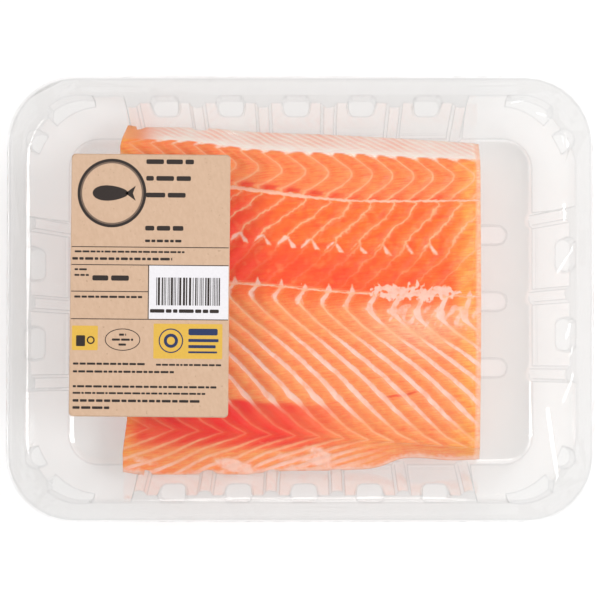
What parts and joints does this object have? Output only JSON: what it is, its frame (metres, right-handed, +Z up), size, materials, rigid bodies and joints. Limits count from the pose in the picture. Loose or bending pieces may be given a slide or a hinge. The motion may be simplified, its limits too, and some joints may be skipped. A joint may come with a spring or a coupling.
{
  "type": "packed salmon portion",
  "caption": "Raw salmon portion lying in a shallow clear tray with ribbed walls, sealed under a clear film with a paper label on top.",
  "frame": {"origin": "under the middle of the pack, on the surface it stands on", "axes": "+Z up, +X along the long side from the label's end to the fish's tail end, +Y towards the fish's back edge"},
  "size_m": [0.25, 0.19, 0.045],
  "materials": {
    "tray": "clear thermoformed plastic sheet",
    "film": "clear glossy lidding film",
    "label": "matte brown kraft paper with plain dark, white and yellow print",
    "salmon": "moist raw salmon flesh with pale fat lines"
  },
  "bodies": {
    "root": {"tray": "tray", "film": "film", "label": "label", "salmon": "salmon"}
  },
  "joints": []
}
